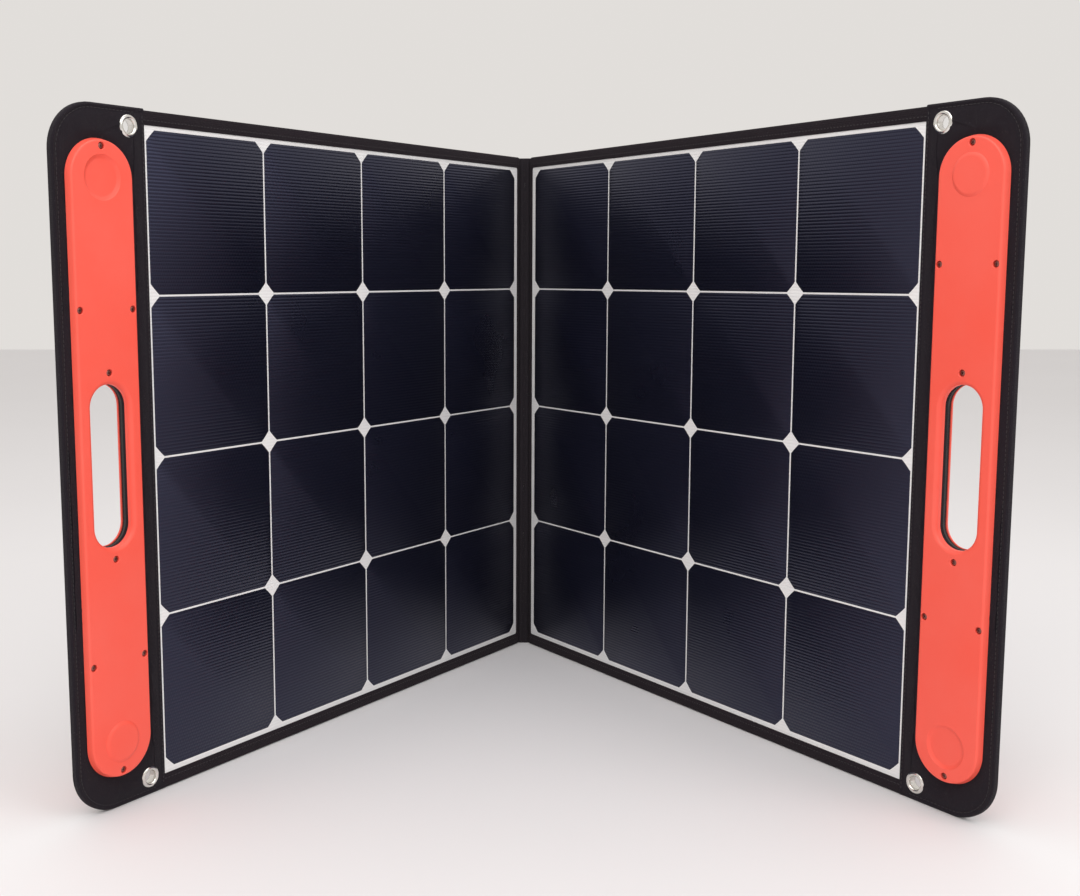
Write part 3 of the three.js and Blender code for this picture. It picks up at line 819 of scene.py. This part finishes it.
def make_screw(half, i):
    """A small pan-head screw with a cross recess."""
    node = f"handle_screw_{i}"
    lo, hi = half.box(node)
    centre = half.middle(node)
    low, top, head = lo[2], hi[2], 2.3
    profile = [(0.2, low), (1.2, low + 1), (1.2, top - 1.4), (head, top - 1.4), (head, top - 0.7),
               (head * 0.93, top - 0.4), (head * 0.72, top - 0.12), (head * 0.4, top)]
    screw = build(f"{node}_pan", turned(profile, centre, 24), STEEL_PAINTED_ORANGE_REFLECTION, half, node=node)
    turn = RNG.uniform(0, math.pi / 2)
    slots = []
    for extra in (0, math.pi / 2):
        t = np.array([math.cos(turn + extra), math.sin(turn + extra)]) * 1.35
        side = np.array([-t[1], t[0]]) / 1.35 * 0.28
        ends = np.array([t + side, side - t, -t - side, t - side])
        slots.append(ringed([(centre + ends * 0.55, hi[2] - 0.9), (centre + ends, hi[2] + 0.3)]))
    boolean(screw, half, slots)


def make_eyelet(half, end):
    """A clenched eyelet: a rolled front rim, the barrel and a flatter rear washer."""
    node = f"{end}_eyelet"
    lo, hi = half.box(node)
    profile = [(5.0, -2.0), (5.05, 2.6), (5.4, 3.6), (6.0, 4.2), (6.6, 4.45), (7.3, 4.3), (8.0, 3.9),
               (8.5, 3.6), (8.55, 3.42), (8.3, 3.3), (5.7, 3.3), (5.7, -3.3), (8.7, -3.3),
               (8.95, -3.5), (8.7, -3.9), (7.2, -4.3), (6.0, -4.2), (5.3, -3.7)]
    middle, scale = (hi[2] + lo[2]) / 2, (hi[2] - lo[2]) / 8.9
    rings = [(r, middle + w * scale) for r, w in reversed(profile)]
    build(f"{end}_rim", turned(rings, half.middle(node), 56, closed=True), NICKEL, half, node=node,
          smooth=50)


# ---------------------------------------------------------------- spine

def make_spine(half):
    """One side of the cloth spine: from the centre seam, round the fold, on to the back cover."""
    low, high = (corner[2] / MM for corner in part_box("spine"))
    high += 2
    cover = half.box("back_cover")[0][2]
    fold_x, fold_y = abs(half.origin[0]), half.origin[1]
    seam = [(0, -1.0), (1.2, -1.15), (2.6, -1.2), (4.0, -1.0), (5.4, -0.6), (7.4, 0.05), (9.2, 0.5)]
    lap = [(1.2, 0.85), (2.4, 0.62), (6, 0.9), (10, 1.1), (12.6, 1.1), (13.4, 0.95)]
    path = [half.local([half.side * x * MM, fold_y + y * MM, 0]) for x, y in seam]
    path += [np.array([x, 0, cover - rise]) for x, rise in lap]
    path = smooth_path(path, 34)
    step = np.gradient(path, axis=0)
    side = np.column_stack([-step[:, 2], np.zeros(len(step)), step[:, 0]])
    side /= np.linalg.norm(side, axis=1)[:, None]
    thick = np.full(len(path), 0.45)
    thick[-1], thick[-2] = 0.12, 0.36
    side *= thick[:, None]
    section = np.concatenate([path + side, (path - side)[::-1]])
    centre = np.concatenate([path, path[::-1]])
    tall = high - low
    hem = np.array([0, 0.4])
    levels = np.concatenate([hem, np.linspace(1.6, tall - 1.6, 130), tall - hem[::-1]])
    slim = np.ones(len(levels))
    slim[[0, -1]], slim[[1, -2]] = 0.45, 0.85
    points = []
    for z, share in zip(levels, slim):
        ring = centre + (section - centre) * share
        ring[:, 1] = low + z
        slack = np.exp(-((ring[:, 0] - 1.5) / 4) ** 2)
        swell = math.sin(z / 5.3) * math.sin(z / 17) + 0.5 * math.sin(z / 2.9)
        ring[:, 2] += slack * 0.22 * swell
        points.append(ring)
    shape = np.concatenate(points), skin(len(levels), len(section))
    piece = build("spine_cloth", shape, BACK_CLOTH, half, body="none", smooth=60)
    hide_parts("spine")
    end = half.world([1.4, 0, -2.6])
    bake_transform(piece)
    lines = []
    for x, rise in ((4.5, 1.25), (10.5, 1.45)):
        ends = [(x, z, cover - rise) for z in (low + 3, high - 3)]
        lines.append((ends, -1))
    stitches("spine_stitches", lines, half)


def smooth_path(points, count):
    """Points spaced evenly along a Catmull-Rom curve through the given ones."""
    points = np.array(points, float)
    ends = np.concatenate([[2 * points[0] - points[1]], points, [2 * points[-1] - points[-2]]])
    curve = []
    for a, b, c, d in zip(ends[:-3], ends[1:-2], ends[2:-1], ends[3:]):
        for t in np.linspace(0, 1, 12, endpoint=False):
            curve.append(0.5 * (2 * b + (c - a) * t + (2 * a - 5 * b + 4 * c - d) * t ** 2
                                + (3 * b - a - 3 * c + d) * t ** 3))
    curve = np.array(curve + [points[-1]])
    along = np.concatenate([[0], np.cumsum(np.linalg.norm(np.diff(curve, axis=0), axis=1))])
    even = np.linspace(0, along[-1], count)
    return np.column_stack([np.interp(even, along, axis) for axis in curve.T])


# ---------------------------------------------------------------- back covers

def cloth_slab(xs, zs, back, front):
    """A closed grid: back gives w for arrays of x and z, and the front is flat."""
    x, z = (grid.ravel() for grid in np.meshgrid(xs, zs, indexing="ij"))
    points = np.concatenate([np.column_stack([x, z, back(x, z)]),
                             np.column_stack([x, z, np.full(len(x), front)])])
    across, up, size = len(xs), len(zs), len(x)
    faces = []
    for i in range(across - 1):
        for j in range(up - 1):
            a, b, c, d = i * up + j, (i + 1) * up + j, (i + 1) * up + j + 1, i * up + j + 1
            faces.append((a, d, c, b))
            faces.append((size + a, size + b, size + c, size + d))
    rim = ([i * up for i in range(across)] + [(across - 1) * up + j for j in range(1, up)]
           + [i * up + up - 1 for i in range(across - 2, -1, -1)] + list(range(up - 2, 0, -1)))
    for a, b in zip(rim, rim[1:] + rim[:1]):
        faces.append((a, b, size + b, size + a))
    return points, faces


def make_back_cover(half):
    """The back cloth, pulled over the board, slightly full between its sewn edges."""
    lo, hi = half.box("back_cover")
    inset = 2.2
    x0, x1, z0, z1 = lo[0] + inset, hi[0] + TUCK, lo[1] + inset, hi[1] - inset
    fine = np.array([0, 1, 3, 6, 10, 14])

    def lines(low, high, steps):
        even = np.linspace(low + fine[-1], high - fine[-1], steps)[1:-1]
        return np.concatenate([low + fine, even, high - fine[::-1]])

    def relief(x, z):
        inside = np.minimum(np.minimum(x - x0, x1 - x), np.minimum(z - z0, z1 - z))
        held = np.clip((inside - 8) / 40, 0, 1)
        drape = np.sin(x / 47 + 0.6 * np.sin(z / 61)) * np.cos(z / 53)
        pucker = np.sin(z / 6.1) * np.sin(x / 83) + np.sin(x / 6.7) * np.sin(z / 71)
        near = np.exp(-((inside - 12) / 5) ** 2)
        return lo[2] - (0.2 + 0.16 * held * (1 + drape) + 0.1 * near * pucker)

    slab = cloth_slab(lines(x0, x1, 84), lines(z0, z1, 88), relief, hi[2] - 0.05)
    piece = build("back_cloth", slab, BACK_CLOTH, half, node="back_cover")
    half.part("core_board")


# ---------------------------------------------------------------- stands

def tapered_loop(corners, radii, inset, steps=9, along=14):
    """A rounded convex outline, pulled in by an inset, always the same count of points."""
    corners = np.array(corners, float)
    count = len(corners)
    edges = np.roll(corners, -1, 0) - corners
    edges /= np.linalg.norm(edges, axis=1)[:, None]
    inwards = np.column_stack([-edges[:, 1], edges[:, 0]])
    arcs = []
    for i in range(count):
        before, after = inwards[i - 1], inwards[i]
        radius = max(radii[i], inset + 0.2)
        centre = corners[i] + (before + after) / (1 + before @ after) * radius
        angle = math.atan2(-before[1], -before[0])
        turn = math.acos(np.clip(before @ after, -1, 1))
        spokes = angle + np.linspace(0, turn, steps)
        arcs.append(centre + (radius - inset) * np.column_stack([np.cos(spokes), np.sin(spokes)]))
    points = []
    for i in range(count):
        points.extend(arcs[i])
        start, end = arcs[i][-1], arcs[(i + 1) % count][0]
        points.extend(start + (end - start) * share for share in np.linspace(0, 1, along + 2)[1:-1])
    return np.array(points)


def make_stand(half):
    """A fabric-covered board with a bound edge, on the stand body, narrower at its foot."""
    lo, hi = half.box("stand_board")
    vertices = half.corners("stand_board")
    top = vertices[vertices[:, 1] > hi[1] - 4]
    left, right, taper = top[:, 0].min(), top[:, 0].max(), 18
    corners = [(left + taper, lo[1]), (right - taper, lo[1]), (right, hi[1]), (left, hi[1])]
    radii = [14, 14, 3, 3]

    def ring(inset, w):
        return tapered_loop(corners, radii, inset), w

    back, front = lo[2] + 0.35, hi[2] - 0.3
    face = [(3, 0.0), (9, 0.0), (10.5, 0.25), (16, 0.1), (30, 0.35), (48, 0.5), (66, 0.55), (80, 0.5)]
    rings = [ring(inset, back - rise) for inset, rise in reversed(face)]
    rings += [ring(2.2, back + 0.3), ring(2.2, front - 0.3)]
    rings += [ring(inset, front) for inset, rise in face]
    build("stand_cover", ringed(rings), BACK_CLOTH, half, node="stand_board", body=half.stand,
          smooth=60)
    tape = [(9.5, back, -0.02), (9.3, back, -0.35), (8.6, back, -0.45), (2.0, back, -0.45),
            (0.9, back, -0.25), (0.2, back, 0.35), (0.0, (back + front) / 2, 0),
            (0.2, front, -0.35), (0.9, front, 0.1), (2.0, front, 0.25), (8.6, front, 0.25),
            (9.5, front, -0.02)]
    tape = [ring(inset, w + rise) for inset, w, rise in tape]
    build("stand_tape", ringed(tape, closed=True), TAPE, half, body=half.stand, smooth=60)
    run = tapered_loop(corners, radii, 6.6)
    line = at_height(np.concatenate([run, run[:1]]), back - 0.45)
    stitches("stand_stitches", [(line, -1)], half, body=half.stand)


def ribbon(path, x0, x1, thick, columns=8):
    """A woven strip from x0 to x1 along a path of (z, w) points, with soft selvedges."""
    edge = 0.35
    step = np.gradient(path, axis=0)
    normal = np.column_stack([-step[:, 1], step[:, 0]])
    normal /= np.linalg.norm(normal, axis=1)[:, None]
    xs = np.concatenate([[x0, x0 + edge, x0 + 3 * edge], np.linspace(x0 + 2, x1 - 2, columns),
                         [x1 - 3 * edge, x1 - edge, x1]])
    slim = np.ones(len(xs))
    slim[[0, -1]], slim[[1, -2]] = 0.25, 0.8
    reach = np.concatenate([slim, -slim[::-1]]) * thick / 2
    points = []
    for k, (place, outwards) in enumerate(zip(path, normal)):
        end = 0.5 if k in (0, len(path) - 1) else 1.0
        points.append(np.column_stack([np.concatenate([xs, xs[::-1]]),
                                       place + np.outer(reach * end, outwards)]))
    return np.concatenate(points), skin(len(path), len(reach))


def make_stand_hinge(half):
    """The woven strip that hangs the stand from the back cover."""
    lo, hi = half.box("stand_hinge_web")
    stand_lo, stand_hi = half.box("stand_board")
    top, cover = hi[1], hi[2]
    edge, back = stand_hi[1], stand_lo[2]
    path = smooth_path([(top, cover - 0.7), (top - 8, cover - 0.85), (top - 20, cover - 0.95),
                        (edge + 4, cover - 1.4), (edge + 2, back + 1.2), (edge - 1, back - 0.65),
                        (edge - 8, back - 0.95), (edge - 20, back - 0.95),
                        (edge - 24, back - 0.85)], 70)
    shape = ribbon(path, lo[0] + 3, hi[0] - 3, 0.9, columns=40)
    web = build("stand_hinge", shape, WEBBING, half, node="stand_hinge_web", body="none", smooth=60)
    axis_z = JOINTS[half.part("stand_swing")]["pos_m"][2]
    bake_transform(web)
    for name, body, start, drops, w in (("hinge", half.body, top, (4, 16), cover),
                                        ("stand_hinge", half.stand, edge, (9, 20), back)):
        ends = lo[0] + 6, hi[0] - 6
        lines = [([(x, start - drop, w - 1.4) for x in ends], -1) for drop in drops]
        stitches(f"{name}_stitches", lines, half, body=body)


def make_pull_tab(half):
    """A folded loop of webbing sewn to the stand's foot with a crossed box."""
    lo, hi = half.box("stand_pull_tab")
    low, high = lo[1], hi[1]
    outer, inner = lo[2] + 0.25, hi[2] - 0.1
    path = smooth_path([(high, outer), (high - 20, outer), (low + 12, outer - 0.1),
                        (low + 3, outer - 0.35), (low + 0.5, (outer + inner) / 2),
                        (low + 3, inner + 0.5), (low + 12, inner + 0.3), (low + 24, inner)], 60)
    build("pull_tab", ribbon(path, lo[0], hi[0], 0.55), WEBBING, half,
          node="stand_pull_tab", body=half.stand, smooth=60)
    x0, x1, z0, z1 = lo[0] + 3, hi[0] - 3, hi[1] - 21, hi[1] - 3
    w = outer - 0.28
    a, b, c, d = (x0, z0, w), (x1, z0, w), (x1, z1, w), (x0, z1, w)
    lines = [(line, -1) for line in ([a, b, c, d, a], [a, c], [b, d])]
    stitches("pull_tab_stitches", lines, half, body=half.stand)


def make_strap(half):
    """The webbing that stops the stand's swing, as one fixed strip."""
    lo, hi = half.box("stand_strap")
    low, high, w = lo[1], hi[1], (lo[2] + hi[2]) / 2
    path = smooth_path([(low - 4, w + 0.1), (low + 6, w + 0.05), ((low + high) / 2, w),
                        (high - 6, w - 0.05), (high + 4, w - 0.1)], 80)
    strap = build("strap", ribbon(path, lo[0], hi[0], 0.7), WEBBING, half,
                  node="stand_strap", body="none", smooth=60)
    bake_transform(strap)


# ---------------------------------------------------------------- back fittings

def make_junction_box(half):
    """A low moulded box with a lid, its seam, four screws and grip ribs."""
    lo, hi = half.box("junction_box")
    seam = lo[2] + 1.9

    def ring(i, w):
        return loop(lo[0] + i, hi[0] - i, lo[1] + i, hi[1] - i, 5 - min(i, 4), 6, 6, 8), w

    rings = [ring(0, hi[2] - 0.1), ring(0, seam + 0.5), ring(0.45, seam + 0.35),
             ring(0.45, seam), ring(0.1, seam - 0.15)]
    lid = [(0.15, 1.2), (0.5, 0.5), (1.2, 0.1), (2.0, 0), (8.0, 0), (8.6, 0.4), (9.2, 0.5)]
    rings += [ring(inset, lo[2] + rise) for inset, rise in lid]
    shell = build("terminal_box", ringed(rings), BLACK_PLASTIC, half, node="junction_box", smooth=40)
    places = [(x, z) for x in (lo[0] + 5, hi[0] - 5) for z in (lo[1] + 5, hi[1] - 5)]
    seat = [(1.9, lo[2] - 1), (1.9, lo[2] + 1.1)]
    boolean(shell, half, [turned(seat, place, 24) for place in places])
    head = [(r, lo[2] + w) for r, w in ((0.5, 0.3), (1.6, 0.35), (1.6, 0.9), (1.6, 1.3))]
    for k, place in enumerate(places):
        build(f"lid_screw_{k + 1}", turned(head, place, 20), STEEL_PAINTED_ORANGE_REFLECTION, half)
    for k, x in enumerate(np.linspace(lo[0] + 16, hi[0] - 16, 9)):
        rib = rounded_slab(x - 0.8, x + 0.8, lo[1] + 14, hi[1] - 14, lo[2] - 0.25, lo[2] + 0.9, 0.7,
                           0.3, 2, long=2, short=2, arc=5)
        build(f"lid_rib_{k + 1}", rib, BLACK_PLASTIC, half)


# ---------------------------------------------------------------- pocket

def make_pocket(half):
    """The zipped pocket: a sewn-down hem, soft gusset sides, piping and a slack full face."""
    lo, hi = half.box("cable_pocket")
    zip_lo, zip_hi = half.box("pocket_zip")
    centre = (lo[:2] + hi[:2]) / 2
    low, back, base = lo[1], lo[2] + 0.6, hi[2]
    zip_middle = (zip_lo[1] + zip_hi[1]) / 2

    def ring(i, w):
        return loop(lo[0] + i, hi[0] - i, lo[1] + i, hi[1] - i, max(16 - i * 0.8, 4), 44, 34, 10), w

    def face(outline, fallen):
        x, z = outline.T
        creases = (0.5 * np.sin((x + 0.7 * z) / 19) + 0.35 * np.sin((x - 1.3 * z) / 31 + 1)
                   + 0.2 * np.sin((x * 0.4 + z) / 9.5))
        sag = 1.6 * np.exp(-((z - low - 55) / 60) ** 2)
        zip_band = np.clip(np.abs(z - zip_middle) / 16 - 0.75, 0, 1)
        full = min(fallen, 1) * zip_band
        return back - 0.35 - full * (1.2 + sag + 0.75 * creases)

    rings = [ring(4.4, base + 0.1), ring(4.2, base - 1.8), ring(3.8, base - 5), ring(3.3, base - 9),
             ring(3.6, base - 12.5), ring(4.6, back + 1.6), ring(6.0, back + 0.4)]
    last = rings[-1][0]
    for share in (0.03, 0.07, 0.12, 0.18, 0.25, 0.33, 0.42, 0.52, 0.62, 0.72, 0.82, 0.9, 0.96):
        outline = last + (centre - last) * share
        rings.append((outline, face(outline, share * 5)))
    pocket = build("pocket_cloth", ringed(rings), BACK_CLOTH, half, node="cable_pocket",
                   body="none", smooth=180)
    points = remeshed(pocket, 3.2, half)
    x, z, w = points.T
    near_zip = (z > zip_lo[1] - 3) & (z < zip_hi[1] + 3)
    inside = np.minimum(np.minimum(x - lo[0], hi[0] - x), np.minimum(z - lo[1], hi[1] - z))
    on_face = w < back + 3
    held = on_face & (near_zip | (inside < 9)) | (w > (base - 2.5))
    settle(pocket, held, cap=2.6 * MM, pressure=0.8, slack=0.022)
    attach(pocket, half.body)
    hem = [ring(0, base + 0.1), ring(0, base - 0.6), ring(0.4, base - 0.85),
           ring(4.0, base - 0.95), ring(5.6, base - 0.9), ring(5.6, base + 0.1)]
    build("pocket_hem", ringed(hem, closed=True), TAPE, half, smooth=60)
    piping = [ring(4.6 + 1.3 * math.cos(turn), back + 0.7 + 1.3 * math.sin(turn))
              for turn in np.linspace(0, 2 * math.pi, 10, endpoint=False)]
    build("pocket_piping", ringed(piping, closed=True), TAPE, half, smooth=80)
    sewn, inner = (np.concatenate([run, run[:1]]) for run in (ring(1.6, 0)[0], ring(8.2, 0)[0]))
    lines = [(at_height(sewn, hi[2] - 0.85), -1), (at_height(inner, face(inner, 0.12) - 0.05), -1)]
    stitches("pocket_stitches", lines, half)


def make_zip(half):
    """Two woven tapes with the coil's teeth meeting between them, and stitches along both."""
    lo, hi = half.box("pocket_zip")
    middle = (lo[1] + hi[1]) / 2
    front, back = hi[2] + 0.45, hi[2] - 0.7
    for k, (z0, z1) in enumerate(((lo[1], middle - 1.1), (middle + 1.1, hi[1]))):
        slab = rounded_slab(lo[0], hi[0], z0, z1, back, front, 2, 0.3, 2, long=2, short=2, arc=6)
        build(f"zip_tape_{k + 1}", slab, TAPE, half,
              node="pocket_zip" if k == 0 else None)
    teeth = []
    pitch = 1.7
    for k, x in enumerate(np.arange(lo[0] + 7, hi[0] - 7, pitch / 2)):
        side = 1 if k % 2 else -1
        z0, z1 = sorted((middle - side * 0.7, middle + side * 2.5))
        teeth.append(rounded_slab(x - 0.36, x + 0.36, z0, z1, back - 0.75, back + 0.1, 0.3, 0.2, 1,
                                  long=1, short=1, arc=2))
    build("zip_teeth", merged(teeth), BLACK_PLASTIC, half, smooth=40)
    lines = [([(lo[0] + 4, z, back), (hi[0] - 4, z, back)], -1) for z in (lo[1] + 2.4, hi[1] - 2.4)]
    stitches("zip_stitches", lines, half)


def make_slider(half):
    """The zip's slider: a waisted body with a bridge, and a pull with a slot."""
    lo, hi = half.box("zip_slider")
    x = (lo[0] + hi[0]) / 2
    zip_lo, zip_hi = half.box("pocket_zip")
    middle = (zip_lo[1] + zip_hi[1]) / 2
    low, top = lo[1], hi[2]
    corners = [(x - 5, middle - 4.4), (x + 4, middle - 5.6),
               (x + 5, middle + 5.6), (x - 5, middle + 4.4)]
    outline, inner = (tapered_loop(corners, [2] * 4, inset) for inset in (0, 0.5))
    rings = [(inner, top), (outline, top - 0.35), (outline, top - 1.1), (inner, top - 1.6)]
    build("slider_body", ringed(rings), GUNMETAL, half, node="zip_slider", smooth=40,
          body="zip_slider")
    bridge = [(-4.2, 1.2), (-3.8, 2.4), (-2.5, 3.1), (0, 3.3), (2.5, 3.1), (3.8, 2.4), (4.2, 1.2)]
    path = smooth_path([(a, top - b) for a, b in bridge], 20)
    turns = np.linspace(0, 2 * math.pi, 8, endpoint=False)
    points = [(x + a, middle + 1.3 * math.cos(turn), w + 0.55 * math.sin(turn))
              for a, w in path for turn in turns]
    build("slider_bridge", (points, skin(len(path), len(turns))), GUNMETAL, half, smooth=60,
          body="zip_slider")
    pull = rounded_slab(x - 3.4, x + 3.4, low, middle + 2.6, top - 3.1,
                        top - 2.0, np.array([2.6, 2.6, 1.6, 1.6]), 0.35, 3,
                        long=2, short=2, arc=8)
    piece = build("slider_pull", pull, GUNMETAL, half, smooth=40, body="zip_slider")
    holes = []
    for wide, z0, z1, radius in ((1.9, middle - 1.6, middle + 1.7, 1),
                                 (1.5, low + 3, low + 13, 1.4)):
        holes.append(rounded_slab(x - wide, x + wide, z0, z1, top - 5, top, radius, 0.1, 1, long=2,
                                  short=2, arc=4))
    boolean(piece, half, holes)


def finish_hidden():
    """Materials for the CAD nodes inside the panel and the zipped pocket."""
    inside = {"output_box": BLACK_PLASTIC, "port_block": BLACK_PLASTIC, "cable_gland": BLACK_PLASTIC}
    for name in ("left", "right"):
        inside[f"{name}_core_board"] = BOARD
        inside[f"{name}_upper_magnet"] = NICKEL
        inside[f"{name}_lower_magnet"] = NICKEL
    for node, material in inside.items():
        mesh = frame["nodes"][node].data
        mesh.materials.clear()
        mesh.materials.append(material)


# ---------------------------------------------------------------- assembly

make_camera()
make_studio()
for one in HALVES:
    make_cells(one)
    make_sheet(one)
    make_binding(one)
    make_sleeve(one)
    make_plate(one, "front")
    make_plate(one, "back")
    for number in range(1, 9):
        make_screw(one, number)
    make_eyelet(one, "upper")
    make_eyelet(one, "lower")
    make_spine(one)
    make_back_cover(one)
    make_stand(one)
    make_stand_hinge(one)
    make_pull_tab(one)
    make_strap(one)
    make_junction_box(one)
make_pocket(POCKET_HALF)
make_zip(POCKET_HALF)
make_slider(POCKET_HALF)
finish_hidden()
